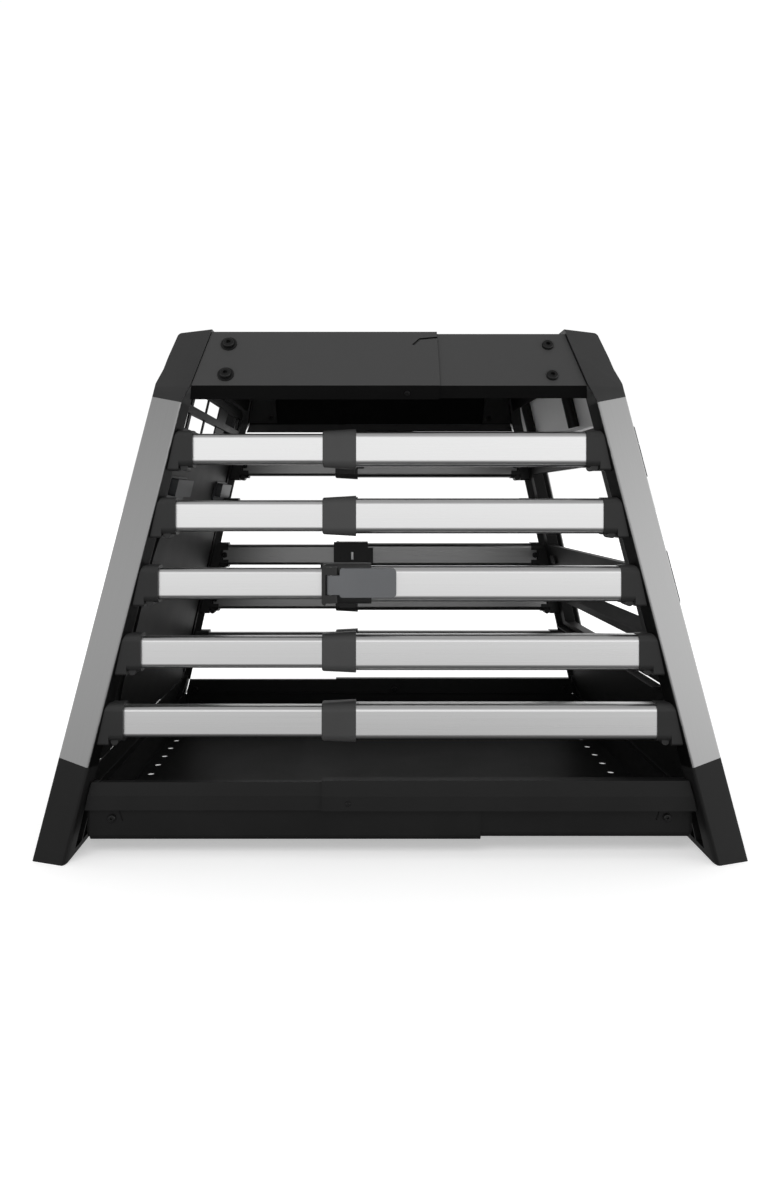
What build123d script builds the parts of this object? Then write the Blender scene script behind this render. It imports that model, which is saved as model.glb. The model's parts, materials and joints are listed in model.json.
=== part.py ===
from build123d import *

import os
from math import atan2, cos, degrees, radians, sin

os.makedirs("parts", exist_ok=True)

# Telescopic dog crate for the load space of a car, in millimetres.
# +X points to the rear door, -X to the seats with the escape hatch, -Y is the left side.
# The crate stands on Z = 0, with the origin at the middle of its footprint.
# The rear half is fixed. The front half slides along X, its inner tubes in the rear half's outer tubes.

# Leaning faces: how far each goes in per millimetre of height
END_SLOPE = 0.2369
SIDE_SLOPE = 0.07
LEAN = Vector(-END_SLOPE, SIDE_SLOPE, 1)

# Corner posts, at floor level of the rear left corner
POST_CENTRE = (400.6, -271.8)
POST_WIDTH = 44.2
POST_DEPTH = 24.0
POST_TURN = 17.0
POST_CORNER = 3.0
POST_WALL = 2.5
SPIGOT_GAP = 0.1
SPIGOT_LENGTH = 32.0
FOOT_JOINT_Z = 114.5
CAP_JOINT_Z = 549.6
FOOT_WING_Y = 176.0
FOOT_WING_PLANE = 380.6

# Telescoping side bars, counted from the bottom
BAR_COUNT = 5
LOCK_BAR = 2
BAR_LOW_Z = 162.0
BAR_PITCH = 82.1
BAR_FACE_Y = 283.8
OUTER_HEIGHT = 43.0
OUTER_DEPTH = 24.0
OUTER_CORNER = 8.0
INNER_HEIGHT = 38.0
INNER_DEPTH = 19.0
INNER_CORNER = 6.0
INNER_WALL = 2.0
SLIDE_GAP = 0.3
OUTER_TUBE_FRONT_X = -77.0
INNER_TUBE_REAR_X = 90.0
BRACKET_END = 356.4
SOCKET_DEPTH = 10.0
BRACKET_WALL = 1.2
LOBE_DROP = 26.5
BOSS_DROP = 22.5
BRACKET_LIMIT = 384.5
BRACKET_SCREW_X = 7.0

# Collars where the outer tubes begin, and the lock housings on the middle bars
COLLAR_FRONT_X = -81.5
COLLAR_REAR_X = -40.5
COLLAR_WALL = 1.75
COLLAR_MOUTH = 0.9
COLLAR_FLARE = 3.3
COLLAR_TAB_X = -29.0
LOCK_REAR_X = -22.0
LOCK_FLARE = 2.8
CATCH_END_X = -12.5
EAR_HEIGHT = 11.0
EAR_INNER_Z = 12.0
EAR_OUTER_Z = 21.5
EAR_REAR_X = -62.5
LEVER_PIN_X = -71.0
LEVER_PIN_OUT = 6.8
LEVER_PIN_RADIUS = 2.5
LEVER_THICKNESS = 9.3
LEVER_WIDE_X = -60.0
LEVER_TIP_X = 7.5
LEVER_NECK_HEIGHT = 23.2
LEVER_HEIGHT = 35.0
LEVER_RAISE = 2.6
PIN_PLAY = 0.05

# Roof: two folded sheets, the front one on top
ROOF_Z = 642.0
ROOF_HALF = 208.0
EAVE_Z = 567.5
EAVE_HALF = 250.0
LIP_Z = 552.0
LIP_HALF = 238.0
SHEET = 2.0
ROOF_STEP = 2.5
ROOF_SCREW_X = 201.0
ROOF_SCREW_Z = (582.0, 624.0)
LIP_RIVET_X = 22.0
LIP_RIVET_Z = 559.0
ROOF_END = 376.2
ROOF_FRONT_SHEET_X = 62.0
ROOF_REAR_SHEET_X = -65.0
ROOF_FLANGE_Z = 585.0
CAP_TOP_Z = 645.0
CAP_END = 376.7
CAP_BACK_SLOPE = 0.632
CAP_BACK_HALF = 218.5

# Sill beams along each side, and the floor trays
BEAM_Y = 273.0
BEAM_LOW_Z = 57.5
BEAM_CREASE_Z = 75.0
BEAM_TOP_Z = 93.0
BEAM_STEP = 2.4
BEAM_WIDTH = 14.0
BEAM_END = 380.5
BEAM_BOLT_Z = 73.0
BEAM_BOLTS = {0: (345.0, 28.0), BEAM_STEP: (345.0,)}
BEAM_RIVET_X = -50.0
BEAM_RIVET_Z = 66.0
BEAM_FOLD_Z = 66.0
REAR_BEAM_FRONT_X = -81.5
FRONT_BEAM_REAR_X = 100.0
TRAY_TOP_Z = 64.8
TRAY_LOW_Z = 18.8
TRAY_HALF = 266.0
TRAY_CORNER = 8.0
TRAY_END_X = 360.0
TRAY_NOSE_X = 365.0
TRAY_NOSE_HALF = 259.0
TRAY_LIP_HALF = 220.0
FRONT_TRAY_REAR_X = 109.0
REAR_TRAY_FRONT_X = -130.0
FRONT_DRAIN_X = 347.0
REAR_DRAIN_X = 337.0
DRAIN_PITCH = 40.0
DRAIN_RADIUS = 5.4
TRAY_BOLT_X = 333.0
TRAY_BOLT_Z = 46.7

# Rear end: kick panel, side-hung door and header
KICK_LOW_Z = 44.0
KICK_TOP_Z = 196.0
DOOR_LOW_Z = 199.5
DOOR_TOP_Z = 520.0
DOOR_PLANE = 385.0
DOOR_RAIL_DEPTH = 11.0
DOOR_DEPTH = 18.0
DOOR_HALF = 252.0
STILE_WIDTH = 24.0
HEADER_PLANE = 392.0
HEADER_LOW_Z = 525.0
HEADER_TOP_Z = 612.0
UPRIGHT_RADIUS = 7.5
UPRIGHT_Y = 125.0
DOOR_HINGE = Vector(427.0, -258.0, 0)
DOOR_HINGE_LEVELS = (302.0, 456.0)
DOOR_HINGE_LENGTH = 64.0
DOOR_PIN_RADIUS = 2.4
KNUCKLE_RADIUS = 4.7
HANDLE_Z = 325.0
HANDLE_Y = 178.0

# Front end: sill and header, with the bottom-hung escape hatch between them
FRONT_PLANE = 388.0
FRONT_SHEET = 2.5
SILL_TOP_Z = 97.0
HATCH_LOW_Z = 100.5
HATCH_TOP_Z = 574.0
HATCH_HALF = 243.0
HATCH_HINGE_Z = 99.0
HATCH_HINGE_OUT = 6.2
HATCH_PIN_RADIUS = 2.5
HATCH_KNUCKLE_RADIUS = 5.4
HATCH_KNUCKLES = (-150.0, 150.0)
HATCH_LATCH_Z = 446.0
HATCH_LATCH_Y = 159.0
LATCH_LENGTH = 90.0
LATCH_HEIGHT = 23.0
LATCH_BASE_DEPTH = 3.0
FIELD_DEPTH = 3.0
WINDOW_ROWS = ((522.0, 541.0), (551.0, 571.0))
WINDOW_COLUMNS = ((-232.0, -175.0), (-163.0, -79.0), (-73.0, 12.0), (79.0, 163.0), (175.0, 232.0))
STOP_LAP = 4.0

# ------------------------------------------------------------------ helpers


def save(name, *shapes):
    """Write one named piece. More than one solid makes a group."""
    solids = [solid for shape in shapes for solid in shape.solids()]
    piece = solids[0] if len(solids) == 1 else Compound(solids)
    piece.label = name
    export_step(piece, f"parts/{name}.step")


def trim(shape, nx, ny, nz, limit):
    """Keep the part of a shape where nx*x + ny*y + nz*z is at most limit."""
    normal = Vector(nx, ny, nz)
    origin = normal * (limit / normal.dot(normal))
    return split(shape, bisect_by=Plane(origin=origin, z_dir=normal), keep=Keep.BOTTOM)


def inside_end(shape, x):
    """Keep what lies inward of the leaning end plane that meets the floor at x."""
    return trim(shape, 1, 0, END_SLOPE, x)


def outside_end(shape, x):
    """Keep what lies outward of the leaning end plane that meets the floor at x."""
    return trim(shape, -1, 0, -END_SLOPE, -x)


def between_sides(shape, half):
    """Keep what lies between the two leaning side planes, half apart at the floor."""
    return trim(trim(shape, 0, -1, SIDE_SLOPE, half), 0, 1, SIDE_SLOPE, half)


def block(x0, x1, y0, y1, z0, z1):
    """Box between two corners."""
    centre = ((x0 + x1) / 2, (y0 + y1) / 2, (z0 + z1) / 2)
    return Pos(*centre) * Box(abs(x1 - x0), abs(y1 - y0), abs(z1 - z0))


def end_slab(plane, depth, half, low, high):
    """Plate that lies in the leaning rear end plane, between two heights."""
    slab = block(150, 450, -300, 300, low, high)
    slab = outside_end(inside_end(slab, plane + depth), plane)
    return between_sides(slab, half)


def end_frame(plane, y, z):
    """Frame on a rear end plane: X across to the right, Z out of the plane."""
    return Plane(origin=(plane - END_SLOPE * z, y, z), x_dir=(0, 1, 0), z_dir=(1, 0, END_SLOPE))


def under_caps(shape):
    """Keep what passes under the sloping inner faces of the top caps."""
    limit = CAP_BACK_HALF + CAP_BACK_SLOPE * EAVE_Z
    return trim(trim(shape, 0, -1, CAP_BACK_SLOPE, limit), 0, 1, CAP_BACK_SLOPE, limit)


def leaning_prism(outline, low, high):
    """Floor outline carried up along the lean of the rear left corner."""
    return extrude(Pos(LEAN * low) * outline, (high - low) * LEAN.length, dir=LEAN)


def offset_path(path, distance):
    """Path moved sideways, to the left of travel, with mitred corners."""
    points = [Vector(*point) for point in path]
    along = [(stop - start).normalized() for start, stop in zip(points, points[1:])]
    normals = [Vector(-step.Y, step.X) for step in along]
    moved = [points[0] + normals[0] * distance]
    for point, before, after in zip(points[1:-1], normals, normals[1:]):
        moved.append(point + (before + after) * (distance / (1 + before.dot(after))))
    moved.append(points[-1] + normals[-1] * distance)
    return [(point.X, point.Y) for point in moved]


def bent_sheet(path, thickness):
    """Section of a folded sheet, its thickness to the left of travel."""
    return make_face(Polyline(*path, *reversed(offset_path(path, thickness)), close=True))


def along_x(section, x0, x1):
    """Section drawn in Y and Z, carried from x0 to x1."""
    return extrude(Plane.YZ.offset(x0) * section, x1 - x0)


def cylinder_y(x, y0, y1, z, radius):
    """Round bar along Y."""
    return Pos(x, (y0 + y1) / 2, z) * Rot(90, 0, 0) * Cylinder(radius, abs(y1 - y0))


def to_corner(shape, end, side):
    """Carry a shape made for the rear left corner to the corner named."""
    if end == "front":
        shape = mirror(shape, about=Plane.YZ)
    if side == "right":
        shape = mirror(shape, about=Plane.XZ)
    return shape


def button_screw(head_radius, head_height, shank_radius, shank_length, washer_radius=0.0):
    """Socket button screw, head up, its seat at Z = 0."""
    head = Cylinder(head_radius, head_height, align=(Align.CENTER, Align.CENTER, Align.MIN))
    head = fillet(head.edges().group_by(Axis.Z)[-1], head_height * 0.55)
    hexagon = RegularPolygon(head_radius * 0.42, 6)
    socket = extrude(Plane.XY.offset(head_height * 0.35) * hexagon, head_height)
    screw = head - socket
    screw += Pos(0, 0, -shank_length / 2) * Cylinder(shank_radius, shank_length)
    if washer_radius:
        screw = Pos(0, 0, 1.2) * screw
        screw += Pos(0, 0, 0.6) * Cylinder(washer_radius, 1.2)
    return screw


def placed(shape, origin, outward):
    """Shape made on Z = 0, set on a surface with the given outward direction."""
    return Plane(origin=origin, z_dir=outward).location * shape


CORNERS = [(end, side) for end in ("front", "rear") for side in ("left", "right")]
SIDES = ("left", "right")

# ------------------------------------------------------------------ posts, feet and caps


def post_outline(inset=0.0):
    """Turned, rounded floor outline of the rear left post."""
    corner = max(POST_CORNER - inset, 0.5)
    outline = RectangleRounded(POST_WIDTH - 2 * inset, POST_DEPTH - 2 * inset, corner)
    return Pos(*POST_CENTRE, 0) * Rot(0, 0, POST_TURN) * outline


def joint_level(z):
    """Limit of the plane square to the post's lean, at height z on its centre line."""
    return LEAN.dot(Vector(*POST_CENTRE, 0) + LEAN * z)


def above(shape, z):
    """Keep the part of a corner piece above its joint plane."""
    return trim(shape, -LEAN.X, -LEAN.Y, -LEAN.Z, -joint_level(z))


def below(shape, z):
    """Keep the part of a corner piece below its joint plane."""
    return trim(shape, LEAN.X, LEAN.Y, LEAN.Z, joint_level(z))


def make_post():
    """Hollow aluminium corner post."""
    tube = leaning_prism(post_outline(), 60, 620) - leaning_prism(post_outline(POST_WALL), 50, 630)
    return below(above(tube, FOOT_JOINT_Z), CAP_JOINT_Z)


def spigot(low, high):
    """Plug that a foot or cap pushes into the post."""
    plug = leaning_prism(post_outline(POST_WALL + SPIGOT_GAP), low - 30, high + 30)
    return below(above(plug, low), high)


def foot_wing(gap=0.0):
    """Wing of the rear left foot, seen along X, or the space that it needs."""
    tip = -FOOT_WING_Y + gap
    outline = [(-290, 0), (tip, 0), (tip, 14 + gap), (-256 + gap, 100 + gap), (-290, 100 + gap)]
    return along_x(make_face(Polyline(*outline, close=True)), 300, 450)


def make_foot():
    """Moulded foot: the post carried to the floor, with a ribbed wing along the end."""
    stem = below(leaning_prism(post_outline(), 0, 160), FOOT_JOINT_Z)
    wing = trim(foot_wing(), 0, -1, 0, 272)
    wing = outside_end(inside_end(wing, 415.2), FOOT_WING_PLANE)
    foot = trim(stem + wing, 0, 0, -1, 0)
    foot -= inside_end(block(300, 450, -300, -200, -5, 92), FOOT_WING_PLANE)
    pocket_side = make_face(Polyline((-262, 8), (-188, 8), (-188, 12), (-258, 84), (-262, 84), close=True))
    pocket = outside_end(inside_end(along_x(pocket_side, 300, 450), 396), 370)
    ribs = [block(300, 450, y - 1.5, y + 1.5, 0, 100) for y in (-238, -213)]
    for rib in ribs:
        pocket -= rib
    return foot - pocket + spigot(FOOT_JOINT_Z - 1, FOOT_JOINT_Z + SPIGOT_LENGTH)


def roof_normal():
    """Outward direction of the left chamfer of the roof."""
    return Vector(0, -(ROOF_Z - EAVE_Z), EAVE_HALF - ROOF_HALF).normalized()


def chamfer_point(x, z, depth=0.0):
    """Point on the left roof chamfer, or a little below its outer surface."""
    y = -EAVE_HALF + (z - EAVE_Z) * (EAVE_HALF - ROOF_HALF) / (ROOF_Z - EAVE_Z)
    return Vector(x, y, z) - roof_normal() * depth


def make_cap(tab_depth):
    """Moulded top corner: it turns the post inward over the roof, and carries a screwed tab."""
    side = make_face(Polyline(
        (-251.6, 530), (-246.6, EAVE_Z), (-197.6, CAP_TOP_Z), (-140, CAP_TOP_Z),
        (-140, 627), (-183.9, 627), (-221.5, EAVE_Z), (-226.5, 530), close=True))
    turn = radians(POST_TURN)
    sweep = Vector(cos(turn), sin(turn), 0)
    slice_plane = Plane(origin=Vector(260, 0, 0) - sweep * 60, x_dir=(0, 1, 0), z_dir=(1, 0, 0))
    hook = extrude(slice_plane * side, 120, dir=sweep)
    front_view = make_face(Polyline(
        (292, 522), (289.2, CAP_JOINT_Z), (286.2, 570.5), (278.6, 607.2), (269.3, 642.5),
        (CAP_END - END_SLOPE * CAP_TOP_Z, CAP_TOP_Z), (242.3, EAVE_Z), (253.0, CAP_JOINT_Z), (259.3, 522),
        close=True))
    front_view = fillet(front_view.vertices().sort_by_distance((269.3, 642.5, 0))[:1], 6)
    arm = extrude(Plane.XZ * front_view, 300, both=True)
    stem = leaning_prism(post_outline(), 500, 660)
    cap = hook & (arm + stem)
    cap = above(cap, CAP_JOINT_Z)
    tab_low = chamfer_point(0, 573, tab_depth)
    tab_high = chamfer_point(0, 634, tab_depth)
    tab_path = [(tab_high.Y, tab_high.Z), (tab_low.Y, tab_low.Z)]
    tab = inside_end(along_x(bent_sheet(tab_path, 5.0), 190, 300), CAP_END + 12)
    cap += tab
    for z in ROOF_SCREW_Z:
        cap -= placed(Cylinder(4.0, 30), chamfer_point(ROOF_SCREW_X, z), roof_normal())
    return cap + spigot(CAP_JOINT_Z - SPIGOT_LENGTH, CAP_JOINT_Z + 1)


post = make_post()
foot = make_foot()
caps = {"front": make_cap(SHEET), "rear": make_cap(ROOF_STEP + SHEET)}
for end, side in CORNERS:
    save(f"post_{end}_{side}", to_corner(post, end, side))
    save(f"foot_{end}_{side}", to_corner(foot, end, side))
    save(f"top_cap_{end}_{side}", to_corner(caps[end], end, side))

# ------------------------------------------------------------------ telescoping bars


def bar_z(index):
    """Height of a bar's centre line."""
    return BAR_LOW_Z + BAR_PITCH * index


def bar_face(index):
    """Outer face of a left bar, in Y."""
    return -BAR_FACE_Y + SIDE_SLOPE * bar_z(index)


def bar_length(index, depth, height, corner, x0, x1):
    """Solid rounded bar on the left side, centred on the bar's line."""
    centre = Pos(bar_face(index) + OUTER_DEPTH / 2, bar_z(index))
    return along_x(centre * RectangleRounded(depth, height, corner), x0, x1)


def outer_core(index, x0, x1, grow=0.0):
    """Outer tube's envelope."""
    size = (OUTER_DEPTH + 2 * grow, OUTER_HEIGHT + 2 * grow, OUTER_CORNER + grow)
    return bar_length(index, *size, x0, x1)


def inner_core(index, x0, x1, grow=0.0):
    """Inner tube's envelope."""
    size = (INNER_DEPTH + 2 * grow, INNER_HEIGHT + 2 * grow, INNER_CORNER + grow)
    return bar_length(index, *size, x0, x1)


def bracket_x(index):
    """Where a rear bar disappears into its end bracket."""
    return BRACKET_END - END_SLOPE * bar_z(index)


def bracket_screw_hole(index, end):
    """Bore of the screw that holds a tube in its bracket, from the inner side."""
    face = bar_face(index) + (OUTER_DEPTH + (OUTER_DEPTH if end == "rear" else INNER_DEPTH)) / 2
    return cylinder_y(bracket_x(index) + BRACKET_SCREW_X, face - 8, face + 8, bar_z(index), 2.5)


def outer_tube(index):
    """Aluminium tube of the rear half, on the left side."""
    end = bracket_x(index) + SOCKET_DEPTH
    bore = inner_core(index, OUTER_TUBE_FRONT_X - 5, end + 5, SLIDE_GAP)
    tube = outer_core(index, OUTER_TUBE_FRONT_X, end) - bore
    return tube - bracket_screw_hole(index, "rear")


def inner_tube(index):
    """Aluminium tube of the front half, drawn as for a rear corner and carried forward."""
    end = bracket_x(index) + SOCKET_DEPTH
    bore = inner_core(index, -INNER_TUBE_REAR_X - 5, end + 5, -INNER_WALL)
    tube = inner_core(index, -INNER_TUBE_REAR_X, end) - bore
    return mirror(tube - bracket_screw_hole(index, "front"), about=Plane.YZ)


def bracket(index, end):
    """Moulded socket between a bar's end and the side of the post, at the rear left."""
    start = bracket_x(index)
    z = bar_z(index)
    face = bar_face(index)
    core = outer_core if end == "rear" else inner_core
    sleeve = outer_core(index, start, start + 62, BRACKET_WALL)
    low = block(start + 17, start + 62, face - 1.2, face + OUTER_DEPTH + 1.2, z - LOBE_DROP, z)
    low = fillet(low.edges().filter_by(Axis.X), 3)
    boss = cylinder_y(start + 11, face + 3, face + OUTER_DEPTH, z - BOSS_DROP, 4.5)
    body = inside_end(sleeve + low + boss, BRACKET_LIMIT)
    body -= leaning_prism(post_outline(), z - 60, z + 60)
    body -= core(index, start - 5, start + SOCKET_DEPTH)
    inner_face = face + OUTER_DEPTH
    body -= block(start - 1, start + 13, inner_face - 5, inner_face + 5, z - 9, z + 9)
    return body.solids().sort_by(SortBy.VOLUME)[-1]


def bracket_screw(index, end):
    """Button screw on the inner face of a bar, inside its bracket's fork."""
    face = bar_face(index) + (OUTER_DEPTH + (OUTER_DEPTH if end == "rear" else INNER_DEPTH)) / 2
    origin = Vector(bracket_x(index) + BRACKET_SCREW_X, face, bar_z(index))
    return placed(button_screw(5.0, 3.2, 2.45, 6), origin, (0, 1, 0))


def flared_sleeve(index, rear_x, mouth, flare):
    """Sleeve over an outer tube that grows taller from its chamfered front end to its rear end."""
    centre = Pos(bar_face(index) + OUTER_DEPTH / 2, bar_z(index))
    depth = OUTER_DEPTH + 2 * COLLAR_WALL
    ends = []
    for x, grow in ((COLLAR_FRONT_X, mouth), (rear_x, flare)):
        outline = centre * RectangleRounded(depth, OUTER_HEIGHT + 2 * grow, OUTER_CORNER + grow)
        ends.append(Plane.YZ.offset(x) * outline)
    body = loft(ends)
    return chamfer(body.faces().sort_by(Axis.X)[0].edges(), 1.4)


def collar(index):
    """Moulded mouth of an outer tube, with a small stop tab on the inner side."""
    face = bar_face(index)
    z = bar_z(index)
    body = flared_sleeve(index, COLLAR_REAR_X, COLLAR_MOUTH, COLLAR_FLARE)
    inner_side = face + OUTER_DEPTH
    body += block(COLLAR_REAR_X - 12, COLLAR_TAB_X, inner_side, inner_side + 4, z - 5.5, z + 5.5)
    body += block(COLLAR_FRONT_X + 6, COLLAR_REAR_X - 6, inner_side, inner_side + 4, z - 16, z + 16)
    return bore_collar(body, index, COLLAR_TAB_X)


def bore_collar(body, index, rear_x):
    """Open a collar for the outer tube that it grips and the inner tube that slides in it."""
    body -= outer_core(index, OUTER_TUBE_FRONT_X, rear_x + 10)
    return body - inner_core(index, COLLAR_FRONT_X - 5, OUTER_TUBE_FRONT_X + 1, SLIDE_GAP)


def lock_housing():
    """Collar of the middle bar, with ears outside for the lever and a box inside for the catch."""
    index = LOCK_BAR
    face = bar_face(index)
    z = bar_z(index)
    body = flared_sleeve(index, LOCK_REAR_X, LOCK_FLARE, LOCK_FLARE)
    top = face - EAR_HEIGHT
    wall_half = OUTER_HEIGHT / 2 + LOCK_FLARE
    wall = block(COLLAR_FRONT_X, COLLAR_FRONT_X + 4.6, top, face, z - wall_half, z + wall_half)
    body += fillet(wall.edges().filter_by(Axis.Y).sort_by(Axis.X)[:2], 4)
    for sign in (-1, 1):
        ear = block(COLLAR_FRONT_X, EAR_REAR_X, top, face, z + sign * EAR_INNER_Z, z + sign * EAR_OUTER_Z)
        body += fillet(ear.edges().filter_by(Axis.Z).sort_by(Axis.Y)[:2], 3)
    inner_side = face + OUTER_DEPTH
    box = block(COLLAR_FRONT_X - 3, LOCK_REAR_X, inner_side - 2, inner_side + 9, z - 19, z + 24)
    body += fillet(box.edges().filter_by(Axis.X).sort_by(Axis.Y)[2:], 3)
    tail = block(LOCK_REAR_X - 2, CATCH_END_X, inner_side - 2, inner_side + 7, z - 19, z + 13.5)
    body += fillet(tail.edges().filter_by(Axis.X).sort_by(Axis.Y)[2:], 3)
    body -= block(-53.5, -47.5, inner_side + 6, inner_side + 12, z - 9, z + 7)
    body -= Pos(LEVER_PIN_X, face - LEVER_PIN_OUT, z) * Cylinder(LEVER_PIN_RADIUS, 2 * EAR_OUTER_Z + 2)
    return bore_collar(body, index, CATCH_END_X)


def lock_pin():
    """Steel pin through the ears and the lever."""
    origin = (LEVER_PIN_X, bar_face(LOCK_BAR) - LEVER_PIN_OUT, bar_z(LOCK_BAR))
    return Pos(*origin) * Cylinder(LEVER_PIN_RADIUS, 2 * EAR_OUTER_Z)


def lock_lever():
    """Flat lever that lies along the bar: a neck between the ears and a wide grip."""
    y = bar_face(LOCK_BAR) - LEVER_PIN_OUT
    z = bar_z(LOCK_BAR)
    half = LEVER_THICKNESS / 2
    neck_half = LEVER_NECK_HEIGHT / 2
    neck = block(LEVER_PIN_X, LEVER_WIDE_X + 6, y - half, y + half, z - neck_half, z + neck_half)
    hub = Pos(LEVER_PIN_X, y, z) * Cylinder(half, LEVER_NECK_HEIGHT)
    low = z + LEVER_RAISE - LEVER_HEIGHT / 2
    grip = block(LEVER_WIDE_X, LEVER_TIP_X, y - half, y + half, low, low + LEVER_HEIGHT)
    corners = grip.edges().filter_by(Axis.Y)
    grip = fillet(corners.sort_by(Axis.X)[2:], 5)
    grip = chamfer(grip.edges().filter_by(Axis.Y).sort_by(Axis.X)[:2], 2)
    lever = neck + hub + grip
    return lever - Pos(LEVER_PIN_X, y, z) * Cylinder(LEVER_PIN_RADIUS + PIN_PLAY, LEVER_HEIGHT)


bars = range(BAR_COUNT)
plain_bars = [index for index in bars if index != LOCK_BAR]
for index in bars:
    for side in SIDES:
        save(f"outer_tube_{side}_{index + 1}", to_corner(outer_tube(index), "rear", side))
        save(f"inner_tube_{side}_{index + 1}", to_corner(inner_tube(index), "rear", side))

for end in ("front", "rear"):
    brackets = [bracket(index, end) for index in bars]
    save(f"tube_brackets_{end}", *[to_corner(one, end, side) for side in SIDES for one in brackets])

collars = [collar(index) for index in plain_bars]
save("tube_collars", *[to_corner(one, "rear", side) for side in SIDES for one in collars])
save("lock_housings", *[to_corner(lock_housing(), "rear", side) for side in SIDES])
save("lock_pins", *[to_corner(lock_pin(), "rear", side) for side in SIDES])
for side in SIDES:
    save(f"lock_lever_{side}", to_corner(lock_lever(), "rear", side))

# ------------------------------------------------------------------ roof


def roof_path(step):
    """Folded roof's outer line in Y and Z, from the right lip to the left one."""
    right = [(LIP_HALF, LIP_Z), (EAVE_HALF, EAVE_Z), (ROOF_HALF, ROOF_Z)]
    left = [(-y, z) for y, z in reversed(right)]
    return offset_path(right + left, step)


def roof_end_flange(step):
    """Roof end folded down between the caps, for a rear end."""
    inside = make_face(Polyline(*roof_path(step + SHEET), close=True))
    flange = along_x(inside, 180, 300)
    flange = outside_end(inside_end(flange, ROOF_END), ROOF_END - SHEET)
    flange = trim(flange, 0, 0, -1, -ROOF_FLANGE_Z)
    return trim(trim(flange, 0, 1, 0, ROOF_HALF - 26), 0, -1, 0, ROOF_HALF - 26)


def roof_sheet(step, free_x):
    """Roof sheet for a rear end, from its free edge to the caps."""
    sheet = inside_end(along_x(bent_sheet(roof_path(step), SHEET), free_x, 300), ROOF_END)
    sheet += roof_end_flange(step)
    for z in ROOF_SCREW_Z:
        hole = placed(Cylinder(4.0, 30), chamfer_point(ROOF_SCREW_X, z), roof_normal())
        sheet -= hole + mirror(hole, about=Plane.XZ)
    return sheet


def relief_slot():
    """Curved relief slot at the corner of the front sheet's free edge, on the left."""
    line = Line((0, 3.0), (-22, 0.5)) + Line((-22, 0.5), (-31, -9))
    slot = trace(line, 3.0)
    frame = Plane(origin=chamfer_point(ROOF_FRONT_SHEET_X, 631), x_dir=(1, 0, 0), z_dir=roof_normal())
    return extrude(frame * slot, 3.5, both=True)


lip_normal = Vector(0, -(EAVE_Z - LIP_Z), -(EAVE_HALF - LIP_HALF)).normalized()
lip_rivet_y = -LIP_HALF - (LIP_RIVET_Z - LIP_Z) * (EAVE_HALF - LIP_HALF) / (EAVE_Z - LIP_Z)
lip_rivet_point = Vector(LIP_RIVET_X, lip_rivet_y, LIP_RIVET_Z)

roof_front = mirror(roof_sheet(0, -ROOF_FRONT_SHEET_X), about=Plane.YZ)
for cutter in (relief_slot(), placed(Cylinder(1.6, 8), lip_rivet_point, lip_normal)):
    roof_front -= cutter + mirror(cutter, about=Plane.XZ)
save("roof_front", roof_front)
save("roof_rear", roof_sheet(ROOF_STEP, ROOF_REAR_SHEET_X))

# ------------------------------------------------------------------ sill beams and trays


def beam_path(step):
    """Left sill beam's outer line in Y and Z: outside, top and folded inner edge."""
    outline = [(-BEAM_Y, BEAM_LOW_Z), (-BEAM_Y, BEAM_CREASE_Z), (-BEAM_Y + 2, BEAM_TOP_Z),
               (-BEAM_Y + BEAM_WIDTH, BEAM_TOP_Z), (-BEAM_Y + BEAM_WIDTH, BEAM_FOLD_Z)]
    return offset_path(outline, -step)


def beam(step, free_x):
    """Left sill beam for a rear end, from its free edge to the post and foot."""
    section = bent_sheet(list(reversed(beam_path(step))), SHEET)
    body = inside_end(along_x(section, free_x, 420), BEAM_END)
    body -= leaning_prism(post_outline(-0.3), 40, 120)
    for x in BEAM_BOLTS[step]:
        body -= cylinder_y(x, -BEAM_Y + BEAM_WIDTH - 6, -BEAM_Y + BEAM_WIDTH + 4, BEAM_BOLT_Z, 2.5)
    return body.solids().sort_by(SortBy.VOLUME)[-1]


def tray_space(half, low, high, free_x, inset=0.0):
    """Rounded trough with a narrower nose between the feet, or the hollow inside it."""
    height = high - low - inset
    trough = []
    for wide, end_x in ((half, TRAY_END_X), (TRAY_NOSE_HALF, TRAY_NOSE_X)):
        face = Pos(0, low + inset + height / 2) * Rectangle(2 * (wide - inset), height)
        face = fillet(face.vertices().group_by(Axis.Y)[0], TRAY_CORNER - inset)
        trough.append(along_x(face, free_x, end_x - inset))
    return trough[0] + trough[1]


def tray(half, low, free_x, lip_x, drain_x):
    """Floor tray for a rear end: folded walls, an end lip, and tabs up into the beams."""
    body = tray_space(half, low, TRAY_TOP_Z, free_x)
    body -= tray_space(half, low, TRAY_TOP_Z + 5, free_x - 5, SHEET)
    lip = (-TRAY_LIP_HALF, TRAY_LIP_HALF, TRAY_TOP_Z - SHEET, TRAY_TOP_Z)
    body += block(TRAY_NOSE_X - 1, lip_x, *lip)
    for y0 in (-half, half - SHEET):
        body += block(290, 350, y0, y0 + SHEET, TRAY_TOP_Z - 10, 86)
    for sign in (-1, 1):
        body -= cylinder_y(TRAY_BOLT_X, sign * (half - 10), sign * (half + 5), TRAY_BOLT_Z, 3.0)
        slot = Rot(0, 18, 0) * Box(1.8, SHEET, 13)
        body -= Pos(TRAY_BOLT_X - 11, sign * half, TRAY_BOLT_Z + 3) * slot
    for step in range(-5, 6):
        body -= Pos(drain_x, step * DRAIN_PITCH, low) * Cylinder(DRAIN_RADIUS, 12)
    return body


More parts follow.
